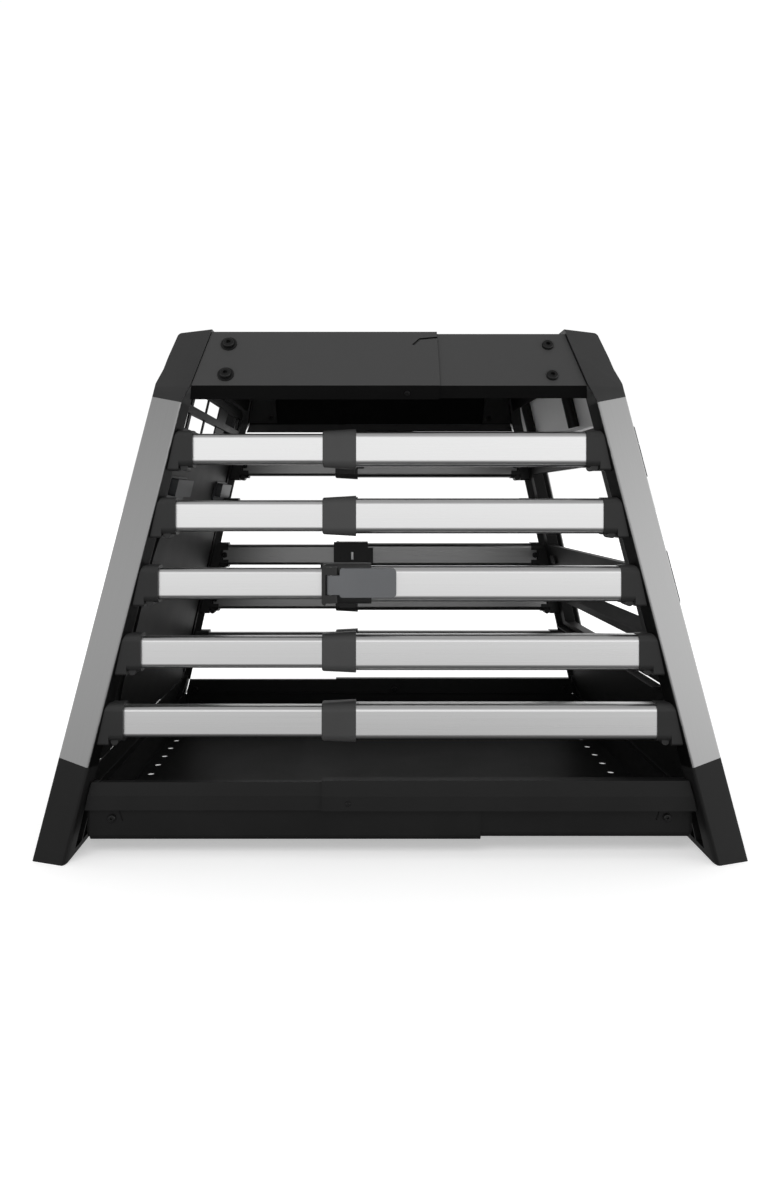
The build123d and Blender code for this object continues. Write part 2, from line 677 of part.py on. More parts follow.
front_beam = mirror(beam(BEAM_STEP, -FRONT_BEAM_REAR_X), about=Plane.YZ)
rear_beam = beam(0, REAR_BEAM_FRONT_X)
rear_beam -= cylinder_y(BEAM_RIVET_X, -BEAM_Y - 4, -BEAM_Y + 4, BEAM_RIVET_Z, 1.5)
save("side_beams_front", *[to_corner(front_beam, "rear", side) for side in SIDES])
save("side_beams_rear", *[to_corner(rear_beam, "rear", side) for side in SIDES])
front_lip_x = FRONT_PLANE - END_SLOPE * TRAY_TOP_Z - 0.5
rear_lip_x = DOOR_PLANE - END_SLOPE * TRAY_TOP_Z - 0.5
front_tray = tray(TRAY_HALF, TRAY_LOW_Z, -FRONT_TRAY_REAR_X, front_lip_x, FRONT_DRAIN_X)
rear_tray = tray(TRAY_HALF - BEAM_STEP, TRAY_LOW_Z + BEAM_STEP, REAR_TRAY_FRONT_X, rear_lip_x, REAR_DRAIN_X)
save("tray_front", mirror(front_tray, about=Plane.YZ))
save("tray_rear", rear_tray)

# ------------------------------------------------------------------ rear end


def clear_of_wings(panel):
    """Notch the lower corners of an end panel for the feet's wings."""
    space = foot_wing(0.5)
    return panel - space - mirror(space, about=Plane.XZ)


def slat(low_inner, high_inner, low_outer, high_outer, depth):
    """Door slat with a sloping top, drawn in the end plane's X and Z."""
    inner = DOOR_PLANE
    outer = DOOR_PLANE + depth
    corners = [(inner, low_inner), (outer, low_outer), (outer, high_outer), (inner, high_inner)]
    section = make_face(Polyline(*[(x - END_SLOPE * z, z) for x, z in corners], close=True))
    return between_sides(extrude(Plane.XZ * section, 300, both=True), DOOR_HALF - 4)


def make_door():
    """Slatted door: two stiles, three rails and a sloping slat."""
    frame = end_slab(DOOR_PLANE, DOOR_DEPTH, DOOR_HALF, DOOR_LOW_Z, DOOR_TOP_Z)
    inner_half = DOOR_HALF - STILE_WIDTH
    frame -= end_slab(DOOR_PLANE - 5, DOOR_DEPTH + 10, inner_half, DOOR_LOW_Z + 8, DOOR_TOP_Z + 5)
    frame += slat(474, DOOR_TOP_Z, 474, DOOR_TOP_Z, DOOR_RAIL_DEPTH)
    frame += slat(402, 422, 402, 422, DOOR_RAIL_DEPTH)
    frame += slat(305, 347, 305, 347, DOOR_RAIL_DEPTH)
    frame += slat(246.5, 258, 262, 273, DOOR_DEPTH)
    bore = end_frame(DOOR_PLANE + DOOR_RAIL_DEPTH, HANDLE_Y, HANDLE_Z).location
    return frame - bore * Cylinder(5.0 + PIN_PLAY, 60)


def hinge_frame(z, outward=(1, 0, END_SLOPE)):
    """Frame on the leaning hinge line: Z along it, X out of the end."""
    return Plane(origin=DOOR_HINGE + LEAN * z, x_dir=outward, z_dir=LEAN)


def hinge_block(z):
    """Fixed hinge on the end face of the left post: a plate and its two outer knuckles."""
    turn = radians(POST_TURN)
    face_normal = Vector(-sin(turn), cos(turn), 0).cross(LEAN)
    frame = hinge_frame(z, face_normal)
    third = DOOR_HINGE_LENGTH / 3
    plate = extrude(frame * Pos(-6.0, -5.5) * Rectangle(2.0, 17), DOOR_HINGE_LENGTH)
    for start in (0, 2 * third + 0.4):
        knuckle_frame = frame.offset(start)
        section = Circle(KNUCKLE_RADIUS) + Pos(-3.2, 0) * Rectangle(6.4, 2 * KNUCKLE_RADIUS)
        plate += extrude(knuckle_frame * section, third - 0.4)
    bore = extrude(frame.offset(-5) * Circle(DOOR_PIN_RADIUS), DOOR_HINGE_LENGTH + 10)
    return plate - bore


def hinge_pin(z):
    """Pin of one door hinge."""
    return extrude(hinge_frame(z) * Circle(DOOR_PIN_RADIUS), DOOR_HINGE_LENGTH)


def hinge_leaf(z):
    """Door side of one hinge: the middle knuckle, its arm, and a plate on the door's outer face."""
    third = DOOR_HINGE_LENGTH / 3
    frame = hinge_frame(z).offset(third + 0.2)
    door_face = (DOOR_PLANE + DOOR_DEPTH - DOOR_HINGE.X) / Vector(1, 0, END_SLOPE).length
    arm_angle = degrees(atan2(17, door_face + 2))
    section = Circle(KNUCKLE_RADIUS)
    section += Pos((door_face + 2) / 2, 8.5) * Rot(0, 0, arm_angle) * Rectangle(27, 4.4)
    section += Pos(door_face + 2, 22) * Rectangle(4, 26)
    leaf = extrude(frame * section, third - 0.6)
    return leaf - extrude(frame.offset(-5) * Circle(DOOR_PIN_RADIUS + PIN_PLAY), third + 10)


def make_handle():
    """Turning door handle: escutcheon, spindle through the rail, grip outside and cam inside."""
    face = end_frame(DOOR_PLANE + DOOR_RAIL_DEPTH, HANDLE_Y, HANDLE_Z)
    depth = DOOR_RAIL_DEPTH / Vector(1, 0, END_SLOPE).length
    rose = extrude(face.offset(0.4) * Circle(17), 7)
    grip = extrude(face.offset(7) * Pos(-32, 0) * RectangleRounded(96, 24, 9), 13)
    grip = fillet(grip.edges().group_by(Axis((0, 0, 0), (1, 0, END_SLOPE)))[-1], 3.5)
    spindle = extrude(face.offset(-depth - 5) * Circle(5.0), depth + 8)
    cam = extrude(face.offset(-depth - 4.4) * Pos(4, 0) * RectangleRounded(30, 14, 5), 4)
    return rose + grip + spindle + cam


def make_header():
    """Aluminium channel across the rear end, above the door."""
    web = end_slab(HEADER_PLANE, 3, 256, HEADER_LOW_Z, HEADER_TOP_Z)
    low_flange = end_slab(HEADER_PLANE, 11, 256, HEADER_LOW_Z, HEADER_LOW_Z + 2)
    top_flange = end_slab(HEADER_PLANE, 11, 256, HEADER_TOP_Z - 2, HEADER_TOP_Z)
    return under_caps(web + low_flange + top_flange)


def upright(y):
    """Round rod between the roof's end flange and the header."""
    centre = (ROOF_END + HEADER_PLANE) / 2
    frame = Plane(origin=(centre - END_SLOPE * 528, y, 528), x_dir=(0, 1, 0), z_dir=(-END_SLOPE, 0, 1))
    return extrude(frame * Circle(UPRIGHT_RADIUS), 98)


def make_kick_panel():
    """Folded plate across the rear end, under the door."""
    plate = end_slab(DOOR_PLANE, 3, 257, KICK_LOW_Z, KICK_TOP_Z)
    plate += end_slab(DOOR_PLANE - 13, 16, 250, KICK_TOP_Z - 2.5, KICK_TOP_Z)
    return clear_of_wings(plate)


save("kick_panel", make_kick_panel())
door = make_door()
for z in DOOR_HINGE_LEVELS:
    door += hinge_leaf(z)
save("door_panel", door)
save("door_hinge_blocks", *[hinge_block(z) for z in DOOR_HINGE_LEVELS])
save("door_hinge_pins", *[hinge_pin(z) for z in DOOR_HINGE_LEVELS])
save("door_handle", make_handle())
save("header_rail", make_header())
save("header_uprights", upright(-UPRIGHT_Y), upright(UPRIGHT_Y))

# ------------------------------------------------------------------ front end


def front(shape):
    """Carry an end piece drawn at the rear to the front end."""
    return mirror(shape, about=Plane.YZ)


def hatch_hinge_axis():
    """X of the hatch hinge line, as drawn at the rear."""
    plane = FRONT_PLANE + FRONT_SHEET - END_SLOPE * HATCH_HINGE_Z
    return plane + HATCH_HINGE_OUT * Vector(1, 0, END_SLOPE).length


def hatch_knuckle(y, up):
    """Knuckle and leaf of the hatch hinge, the leaf going up to the hatch or down to the sill."""
    x = hatch_hinge_axis()
    knuckle = cylinder_y(x, y - 12, y + 12, HATCH_HINGE_Z, HATCH_KNUCKLE_RADIUS)
    low, high = (HATCH_LOW_Z + 0.5, 118) if up else (72, SILL_TOP_Z - 0.5)
    leaf = end_slab(FRONT_PLANE + FRONT_SHEET, 3, 300, low, high)
    leaf &= block(150, 450, y - 12, y + 12, 0, 200)
    web_low, web_high = (HATCH_HINGE_Z + 2, 106) if up else (92, HATCH_HINGE_Z - 2.5)
    web = block(x - HATCH_KNUCKLE_RADIUS + 1, x, y - 12, y + 12, web_low, web_high)
    return knuckle + leaf + web


def hatch_windows():
    """Window openings under the hatch's top edge."""
    openings = []
    for low, high in WINDOW_ROWS:
        row = end_slab(FRONT_PLANE - 10, 30, HATCH_HALF - 8, low, high)
        openings += [row & block(150, 450, left, right, low, high) for left, right in WINDOW_COLUMNS]
    return openings


def make_hatch():
    """Pressed escape hatch: a raised field, windows at the top and hinge knuckles below."""
    panel = end_slab(FRONT_PLANE, FRONT_SHEET, HATCH_HALF, HATCH_LOW_Z, HATCH_TOP_Z)
    rail_low, rail_high = WINDOW_ROWS[0][1], WINDOW_ROWS[1][0]
    panel += end_slab(FRONT_PLANE - FIELD_DEPTH, FIELD_DEPTH, HATCH_HALF - 8, rail_low, rail_high)
    for opening in hatch_windows():
        panel -= opening
    frame = end_frame(FRONT_PLANE, 0, 270)
    panel += extrude(frame.offset(-FIELD_DEPTH) * RectangleRounded(400, 290, 70), FIELD_DEPTH + 0.2)
    hollow = RectangleRounded(400 - 2 * FRONT_SHEET, 290 - 2 * FRONT_SHEET, 70 - FRONT_SHEET)
    panel -= extrude(frame.offset(FRONT_SHEET - FIELD_DEPTH) * hollow, FIELD_DEPTH + 2)
    x = hatch_hinge_axis()
    for y in HATCH_KNUCKLES:
        panel += hatch_knuckle(y, True)
    panel -= cylinder_y(x, -300, 300, HATCH_HINGE_Z, HATCH_PIN_RADIUS + PIN_PLAY)
    for sign in (-1, 1):
        bore = end_frame(FRONT_PLANE, sign * HATCH_LATCH_Y, HATCH_LATCH_Z).location
        panel -= bore * Cylinder(4.0 + PIN_PLAY, 30)
    return panel


def make_front_panel():
    """Fixed frame of the front end: sill, narrow stiles and top strip."""
    panel = clear_of_wings(end_slab(FRONT_PLANE, FRONT_SHEET, 257, KICK_LOW_Z, 588))
    panel = under_caps(panel)
    panel -= end_slab(FRONT_PLANE - 5, 20, HATCH_HALF + 1.5, SILL_TOP_Z, HATCH_TOP_Z + 2)
    stop = end_slab(FRONT_PLANE - 2.4, 2.4, HATCH_HALF + 7, 112, HATCH_TOP_Z + 8)
    stop -= end_slab(FRONT_PLANE - 0.4, 5, HATCH_HALF + 1.5, 0, HATCH_TOP_Z + 2)
    panel += stop - end_slab(FRONT_PLANE - 5, 20, HATCH_HALF - STOP_LAP, 0, HATCH_TOP_Z - 2)
    x = hatch_hinge_axis()
    for y in HATCH_KNUCKLES:
        for sign in (-1, 1):
            panel += hatch_knuckle(y + sign * 24.6, False)
    return panel - cylinder_y(x, -300, 300, HATCH_HINGE_Z, HATCH_PIN_RADIUS)


def latch_base(y):
    """Moulded base of a hatch latch, on the inner face of the hatch."""
    frame = end_frame(FRONT_PLANE, y, HATCH_LATCH_Z)
    outline = Pos(0, -3) * RectangleRounded(LATCH_LENGTH + 4, LATCH_HEIGHT + 10, 5)
    base = extrude(frame.offset(-LATCH_BASE_DEPTH) * outline, LATCH_BASE_DEPTH)
    return base - frame.location * Cylinder(4.0 + PIN_PLAY, 60)


def latch_knob(y):
    """Grey wedge that turns on the latch base, its spindle and the cam outside the hatch."""
    frame = end_frame(FRONT_PLANE, y, HATCH_LATCH_Z)
    knob = extrude(frame.offset(-12.9) * RectangleRounded(LATCH_LENGTH, LATCH_HEIGHT, 3), 9.5)
    spindle = extrude(frame.offset(-8) * Circle(4.0), 15)
    cam = extrude(frame.offset(3.2) * Pos(0, 5) * RectangleRounded(14, 30, 5), 4)
    return knob + spindle + cam


save("front_panel", front(make_front_panel()))
save("hatch_panel", front(make_hatch()))
rod = cylinder_y(hatch_hinge_axis(), -188, 188, HATCH_HINGE_Z, HATCH_PIN_RADIUS)
save("hatch_hinge_rod", front(rod))
save("hatch_latch_bases", *[front(latch_base(y)) for y in (-HATCH_LATCH_Y, HATCH_LATCH_Y)])
save("hatch_latch_left", front(latch_knob(-HATCH_LATCH_Y)))
save("hatch_latch_right", front(latch_knob(HATCH_LATCH_Y)))

# ------------------------------------------------------------------ screws


def side_screws(end):
    """Screws of one half, on the left side, as drawn at the rear."""
    washer = 10.2 if end == "front" else 0.0
    depth = 0.0 if end == "front" else ROOF_STEP
    screws = [bracket_screw(index, end) for index in bars]
    for z in ROOF_SCREW_Z:
        screw = button_screw(7.2, 4.2, 3.95, 11, washer)
        screws.append(placed(screw, chamfer_point(ROOF_SCREW_X, z, depth), roof_normal()))
    half = TRAY_HALF if end == "front" else TRAY_HALF - BEAM_STEP
    bolt = button_screw(4.6, 3.0, 2.95, 7)
    screws.append(placed(bolt, (TRAY_BOLT_X, -half, TRAY_BOLT_Z), (0, -1, 0)))
    step = BEAM_STEP if end == "front" else 0
    for x in BEAM_BOLTS[step]:
        bolt = button_screw(5.0, 3.0, 2.45, SHEET)
        screws.append(placed(bolt, (x, -BEAM_Y + BEAM_WIDTH - step, BEAM_BOLT_Z), (0, 1, 0)))
    return screws


rear_rivet_point = (BEAM_RIVET_X, -BEAM_Y, BEAM_RIVET_Z)
for end in ("front", "rear"):
    screws = side_screws(end)
    group = [to_corner(screw, end, side) for side in SIDES for screw in screws]
    for side in SIDES:
        if end == "front":
            rivet = placed(button_screw(3.2, 1.6, 1.55, SHEET), lip_rivet_point, lip_normal)
        else:
            rivet = placed(button_screw(2.8, 1.4, 1.45, SHEET), rear_rivet_point, (0, -1, 0))
        group.append(to_corner(rivet, "rear", side))
    save(f"screws_{end}", *group)
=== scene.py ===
import json
from math import radians, sin

import bmesh
import bpy
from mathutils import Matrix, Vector


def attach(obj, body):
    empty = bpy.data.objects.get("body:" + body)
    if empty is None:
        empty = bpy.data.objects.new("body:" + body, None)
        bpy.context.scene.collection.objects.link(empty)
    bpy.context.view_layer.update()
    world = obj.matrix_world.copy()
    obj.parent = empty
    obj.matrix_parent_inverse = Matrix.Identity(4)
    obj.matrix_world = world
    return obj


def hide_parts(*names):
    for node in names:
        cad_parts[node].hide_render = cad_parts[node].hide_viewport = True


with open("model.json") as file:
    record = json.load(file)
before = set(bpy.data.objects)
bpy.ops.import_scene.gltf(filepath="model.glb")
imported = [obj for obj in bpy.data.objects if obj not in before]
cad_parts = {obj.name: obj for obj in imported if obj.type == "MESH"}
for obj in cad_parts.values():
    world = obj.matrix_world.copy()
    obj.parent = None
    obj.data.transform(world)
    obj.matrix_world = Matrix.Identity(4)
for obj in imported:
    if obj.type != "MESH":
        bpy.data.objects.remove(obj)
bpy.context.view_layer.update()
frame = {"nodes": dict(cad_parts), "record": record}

# Telescopic dog crate, in metres. +X is the door end, -X the hatch end, -Y the left side.
# Every CAD piece keeps its place. The copies made here only get soft edges, clean shading
# and a procedural finish. A copy rides on the same body as the piece that it stands for.

scene = bpy.context.scene
record = frame["record"]

# ------------------------------------------------------------------ node helpers

# Noise mostly lies between these two values.
NOISE_SPAN = (0.3, 0.7)
# Painted shade on the faces that look into the cabin: outward part of a face's normal where it
# starts to count as an inner face, and where it is one.
INNER_SHADE_SPANS = {"X": (-0.4, -0.7), "Y": (-0.1, -0.4)}
# Places of the colour sockets on a Mix node.
MIX_FIRST = 6
MIX_SECOND = 7
MIX_RESULT = 2


def new_material(name):
    """Empty node material: the tree, its links, and a Principled shader wired to the output."""
    material = bpy.data.materials.new(name)
    material.use_nodes = True
    nodes = material.node_tree.nodes
    nodes.clear()
    output = nodes.new("ShaderNodeOutputMaterial")
    shader = nodes.new("ShaderNodeBsdfPrincipled")
    material.node_tree.links.new(shader.outputs["BSDF"], output.inputs["Surface"])
    return material, shader


class Weaver:
    """Short spellings for the nodes that the finishes, the floor and the studio are built from."""

    def __init__(self, owner, coordinates="Object"):
        self.nodes = owner.node_tree.nodes
        self.links = owner.node_tree.links
        self.place = self.nodes.new("ShaderNodeTexCoord").outputs[coordinates]

    def link(self, source, target):
        """Wire a socket, or set a plain value."""
        if isinstance(source, bpy.types.NodeSocket):
            self.links.new(source, target)
        else:
            target.default_value = source

    def maths(self, operation, first, second=0.0):
        """One Math node."""
        node = self.nodes.new("ShaderNodeMath")
        node.operation = operation
        self.link(first, node.inputs[0])
        self.link(second, node.inputs[1])
        return node.outputs[0]

    def shared(self, first, second, share):
        """Two values added, the first by its share and the second by the rest."""
        one = self.maths("MULTIPLY", first, share)
        other = self.maths("MULTIPLY", second, 1.0 - share)
        return self.maths("ADD", one, other)

    def mix(self, kind, factor, first, second):
        """Two colours mixed by a factor."""
        node = self.nodes.new("ShaderNodeMix")
        node.data_type = "RGBA"
        node.blend_type = kind
        self.link(factor, node.inputs["Factor"])
        self.link(first, node.inputs[MIX_FIRST])
        self.link(second, node.inputs[MIX_SECOND])
        return node.outputs[MIX_RESULT]

    def stretched(self, scale, vector=None):
        """Coordinates scaled along each axis."""
        node = self.nodes.new("ShaderNodeMapping")
        node.inputs["Scale"].default_value = scale
        self.link(vector or self.place, node.inputs["Vector"])
        return node.outputs["Vector"]

    def noise(self, vector, scale=1.0, detail=2.0, roughness=0.5):
        """Smooth noise, 0 to 1."""
        node = self.nodes.new("ShaderNodeTexNoise")
        node.inputs["Scale"].default_value = scale
        node.inputs["Detail"].default_value = detail
        node.inputs["Roughness"].default_value = roughness
        self.link(vector, node.inputs["Vector"])
        return node.outputs["Fac"]

    def spread(self, value, low, high):
        """Noise mapped from its usual span onto low to high."""
        return self.between(value, *NOISE_SPAN, low, high)

    def ramp(self, value, low, high):
        """Colour between two greys or tints, over the usual span of noise."""
        node = self.nodes.new("ShaderNodeValToRGB")
        for element, position, color in zip(node.color_ramp.elements, NOISE_SPAN, (low, high)):
            element.position = position
            element.color = (*color, 1.0)
        self.link(value, node.inputs["Fac"])
        return node.outputs["Color"]

    def split(self, vector):
        """X, Y and Z of a vector."""
        node = self.nodes.new("ShaderNodeSeparateXYZ")
        self.link(vector, node.inputs[0])
        return node.outputs

    def between(self, value, start, end, low=0.0, high=1.0):
        """Value mapped from start to end onto low to high, and held there."""
        node = self.nodes.new("ShaderNodeMapRange")
        node.inputs["From Min"].default_value = start
        node.inputs["From Max"].default_value = end
        node.inputs["To Min"].default_value = low
        node.inputs["To Max"].default_value = high
        self.link(value, node.inputs["Value"])
        return node.outputs["Result"]

    def normal(self):
        """X, Y and Z of the surface normal."""
        return self.split(self.nodes.new("ShaderNodeNewGeometry").outputs["Normal"])

    def cabin_shade_mask(self):
        """Mask of painted shade: 1 on the faces that look into the cabin, 0 on the outer ones."""
        normal = self.normal()
        place = self.split(self.place)
        sides = []
        for axis, span in INNER_SHADE_SPANS.items():
            outward = self.maths("MULTIPLY", normal[axis], self.maths("SIGN", place[axis]))
            sides.append(self.between(outward, *span))
        return self.maths("MAXIMUM", *sides)

    def bump(self, height, distance, strength):
        """Surface relief, its distance in metres."""
        node = self.nodes.new("ShaderNodeBump")
        node.inputs["Distance"].default_value = distance
        node.inputs["Strength"].default_value = strength
        self.link(height, node.inputs["Height"])
        return node.outputs["Normal"]


# ------------------------------------------------------------------ finishes

# Lean of the ends and of the sides: metres inward for each metre up.
END_SLOPE = 0.2369
SIDE_SLOPE = 0.07

# Drawn lines: noise cells for each metre along X, Y and Z, few along the lines and many across them.
BAR_LINES = (6.0, 2200.0, 2200.0)
POST_LINES = (2600.0, 2600.0, 14.0)
# Scale of the broad lines against the fine ones, and the fine ones' share of the tone.
BROAD_LINES = 0.16
FINE_LINE_SHARE = 0.7
# Depth of the lines in metres, how strongly they show, and the least and most added to roughness.
LINE_DEPTH = 0.00002
LINE_STRENGTH = 0.25
LINE_ROUGHNESS = (-0.03, 0.04)

# Grained surfaces: noise cells for each metre in the coarsest grain and in the slow change of tone.
GRAIN = 1000.0
SLOW_TONE = 14.0
FINE_GRAIN_SHARE = 0.5
# How strongly the grain shows, and the least and most added to roughness.
GRAIN_STRENGTH = 0.6
GRAIN_ROUGHNESS = (-0.02, 0.03)
# Painted top light: the part of a face's normal that points up, where its lighter tone starts and
# where it is full.
TOP_LIGHT_SPAN = (0.12, 0.75)


def grey(value, tint=(1.0, 1.0, 1.0)):
    """Neutral colour with a slight tint."""
    return tuple(value * part for part in tint)


def brushed_metal(name, along, dark, light, rough, inner_painted_shade=1.0):
    """Metal with fine drawn lines. Its last argument is painted shade, a factor that darkens the
    faces that look into the cabin.
    """
    material, shader = new_material(name)
    web = Weaver(material)
    vector = along(web)
    fine = web.noise(vector, scale=1.0, detail=4.0, roughness=0.6)
    broad = web.noise(vector, scale=BROAD_LINES)
    both = web.shared(fine, broad, FINE_LINE_SHARE)
    # Painted shade: the faces that look into the cabin are darkened by this factor.
    inner_shade = (*grey(inner_painted_shade), 1.0)
    color = web.mix("MULTIPLY", web.cabin_shade_mask(), web.ramp(both, dark, light), inner_shade)
    web.link(color, shader.inputs["Base Color"])
    roughness = web.spread(both, *(rough + change for change in LINE_ROUGHNESS))
    web.link(roughness, shader.inputs["Roughness"])
    web.link(web.bump(fine, LINE_DEPTH, LINE_STRENGTH), shader.inputs["Normal"])
    shader.inputs["Metallic"].default_value = 1.0
    return material


def lines_along_x(web):
    """Drawn lines that run along the bars."""
    return web.stretched(BAR_LINES)


def lines_up_posts(web):
    """Drawn lines that follow the lean of each corner post."""
    place = web.split(web.place)
    join = web.nodes.new("ShaderNodeCombineXYZ")
    for axis, slope in (("X", END_SLOPE), ("Y", SIDE_SLOPE)):
        lean = web.maths("MULTIPLY", place["Z"], slope)
        web.link(web.maths("ADD", web.maths("ABSOLUTE", place[axis]), lean), join.inputs[axis])
    web.link(place["Z"], join.inputs["Z"])
    return web.stretched(POST_LINES, join.outputs["Vector"])


def textured(name, dark, light, rough, grain, relief, level=0.3, top_painted_light=0.0):
    """Moulded plastic or powder coat: fine grain, slow changes of tone, and painted top light that
    makes faces pointing up lighter.
    """
    material, shader = new_material(name)
    web = Weaver(material)
    fine = web.noise(web.place, scale=grain, detail=3.0, roughness=0.6)
    slow = web.noise(web.place, scale=SLOW_TONE, detail=3.0, roughness=0.55)
    both = web.shared(fine, slow, FINE_GRAIN_SHARE)
    # Painted top light: faces that point up get a lighter tone, in place of light from overhead.
    top_light_mask = web.between(web.normal()["Z"], *TOP_LIGHT_SPAN)
    top_light_tint = (*grey(top_painted_light), 1.0)
    color = web.mix("ADD", top_light_mask, web.ramp(both, dark, light), top_light_tint)
    web.link(color, shader.inputs["Base Color"])
    roughness = web.spread(slow, *(rough + change for change in GRAIN_ROUGHNESS))
    web.link(roughness, shader.inputs["Roughness"])
    web.link(web.bump(fine, relief, GRAIN_STRENGTH), shader.inputs["Normal"])
    shader.inputs["Specular IOR Level"].default_value = level
    return material


# Slight blue tint of the grey plastics.
COOL = (0.97, 1.0, 1.05)

# Finish of each slot, and of the pieces that have their own. relief is the grain's height in metres.
FINISHES = {
    # Bars and posts: painted shade darkens their faces that look into the cabin, to 0.38 and 0.1 of
    # the outer tone.
    "bar_aluminium": brushed_metal(
        "bar_aluminium", lines_along_x, grey(0.84), grey(0.9), rough=0.29, inner_painted_shade=0.38),
    "post_aluminium": brushed_metal(
        "post_aluminium", lines_up_posts, grey(0.35), grey(0.385), rough=0.4, inner_painted_shade=0.1),
    "header_rail": textured(
        "header_rail", grey(0.66), grey(0.7),
        rough=0.5, grain=GRAIN, relief=0.00002, level=0.5),
    # Several black finishes below, most of all the roof, get painted top light on faces that point
    # up.
    "black_plastic": textured(
        "black_plastic", grey(0.011), grey(0.017),
        rough=0.42, grain=1.6 * GRAIN, relief=0.00005, level=0.32, top_painted_light=0.016),
    "tube_collars": textured(
        "collar_plastic", grey(0.03), grey(0.04),
        rough=0.42, grain=1.6 * GRAIN, relief=0.00005, level=0.4),
    "foot_": textured(
        "foot_plastic", grey(0.006), grey(0.009),
        rough=0.45, grain=1.6 * GRAIN, relief=0.00005, level=0.18, top_painted_light=0.004),
    "black_steel": textured(
        "black_steel", grey(0.006), grey(0.01),
        rough=0.46, grain=2.2 * GRAIN, relief=0.00004, level=0.14, top_painted_light=0.003),
    "side_beams": textured(
        "beam_steel", grey(0.008), grey(0.011),
        rough=0.44, grain=2.2 * GRAIN, relief=0.00004, level=0.17),
    "roof_steel": textured(
        "roof_steel", grey(0.003), grey(0.005),
        rough=0.46, grain=2.2 * GRAIN, relief=0.00004, level=0.06, top_painted_light=0.07),
    "grey_plastic": textured(
        "grey_plastic", grey(0.088, COOL), grey(0.104, COOL),
        rough=0.4, grain=1.8 * GRAIN, relief=0.00003),
    "hatch_latch_": textured(
        "latch_plastic", grey(0.04, COOL), grey(0.055, COOL),
        rough=0.4, grain=1.8 * GRAIN, relief=0.00003),
    "black_screw": textured(
        "black_screw", grey(0.004), grey(0.008),
        rough=0.3, grain=3.0 * GRAIN, relief=0.00001),
    "steel": brushed_metal("steel", lines_along_x, grey(0.45), grey(0.55), rough=0.3),
    "slide": brushed_metal("slide_steel", lines_along_x, grey(0.85), grey(0.9), rough=0.5),
}

# Pieces whose names start like this have a finish of their own within their slot.
OWN_FINISHES = ("header_rail", "foot_", "tube_collars", "side_beams", "hatch_latch_")


def finish_of(name, slot):
    """Finish of a piece: its slot's, or one of its own."""
    own = [start for start in OWN_FINISHES if name.startswith(start)]
    return FINISHES[own[0] if own else slot]


# ------------------------------------------------------------------ refined pieces

# Width of the soft edge, in metres, on pieces whose names start like this.
EDGE = {
    "roof_": 0.0004,
    "tray_": 0.0005,
    "side_beams": 0.0012,
    "screws_": 0.0002,
    "outer_tube": 0.0003,
    "inner_tube": 0.0003,
    "post_": 0.0004,
    "lock_lever": 0.0009,
    "top_cap": 0.0009,
    "foot_": 0.0008,
    "hatch_panel": 0.0004,
    "front_panel": 0.0004,
    "door_panel": 0.0010,
}
PLAIN_EDGE = 0.0006
SLIDE_EDGE = 0.0004
# Least angle, in degrees, of an edge that is softened. The side beams' creases are shallow.
SHARP_ANGLE = 32
CREASE_ANGLE = 4
# Vertices this close, in metres, are one. Faces within this angle, in degrees, are one flat face.
SAME_PLACE = 2e-6
FLAT_ANGLE = 0.4


def edge_width(name):
    """Size of the soft edge that suits a piece."""
    for start, width in EDGE.items():
        if name.startswith(start):
            return width
    return PLAIN_EDGE


def cleaned(mesh):
    """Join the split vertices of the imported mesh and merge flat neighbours."""
    work = bmesh.new()
    work.from_mesh(mesh)
    bmesh.ops.remove_doubles(work, verts=work.verts, dist=SAME_PLACE)
    bmesh.ops.dissolve_limit(
        work, angle_limit=radians(FLAT_ANGLE), verts=work.verts, edges=work.edges)
    work.to_mesh(mesh)
    work.free()
    mesh.update()


def soften(piece, width, angle=SHARP_ANGLE):
    """Small bevel on every edge sharper than the angle."""
    bevel = piece.modifiers.new("soft_edge", "BEVEL")
    bevel.width = width
    bevel.segments = 2
    bevel.limit_method = "ANGLE"
    bevel.angle_limit = radians(angle)
    bevel.harden_normals = False


def refine(name, body, slot):
    """Softened, shaded copy of a CAD piece."""
    source = frame["nodes"][name]
    piece = source.copy()
    piece.data = source.data.copy()
    piece.name = f"{name}_finished"
    piece.parent = None
    scene.collection.objects.link(piece)
    cleaned(piece.data)
    soften(piece, edge_width(name), CREASE_ANGLE if name.startswith("side_beams") else SHARP_ANGLE)
    for polygon in piece.data.polygons:
        polygon.use_smooth = True
    shade = piece.modifiers.new("weighted", "WEIGHTED_NORMAL")
    shade.keep_sharp = False
    piece.data.materials.clear()
    piece.data.materials.append(finish_of(name, slot))
    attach(piece, body)
    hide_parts(name)


body_of = {node: body for body, nodes in record["behaviour"]["bodies"].items() for node in nodes}
slot_of = {part["node"]: part["material_slot"] for part in record["subparts"]}
for name in sorted(frame["nodes"]):
    refine(name, body_of[name], slot_of[name])

# ------------------------------------------------------------------ small details

# Lowest and highest place of a lock slide. Y is its distance from the middle of the crate.
SLIDE_X = (-0.0527, -0.0483)
SLIDE_Y = (0.2294, 0.2309)
SLIDE_Z = (0.3182, 0.3322)
# Corners of each side of a block whose corners are listed by X, then Y, then Z.
BLOCK_SIDES = [(0, 1, 3, 2), (4, 6, 7, 5), (0, 4, 5, 1), (2, 3, 7, 6), (0, 2, 6, 4), (1, 5, 7, 3)]


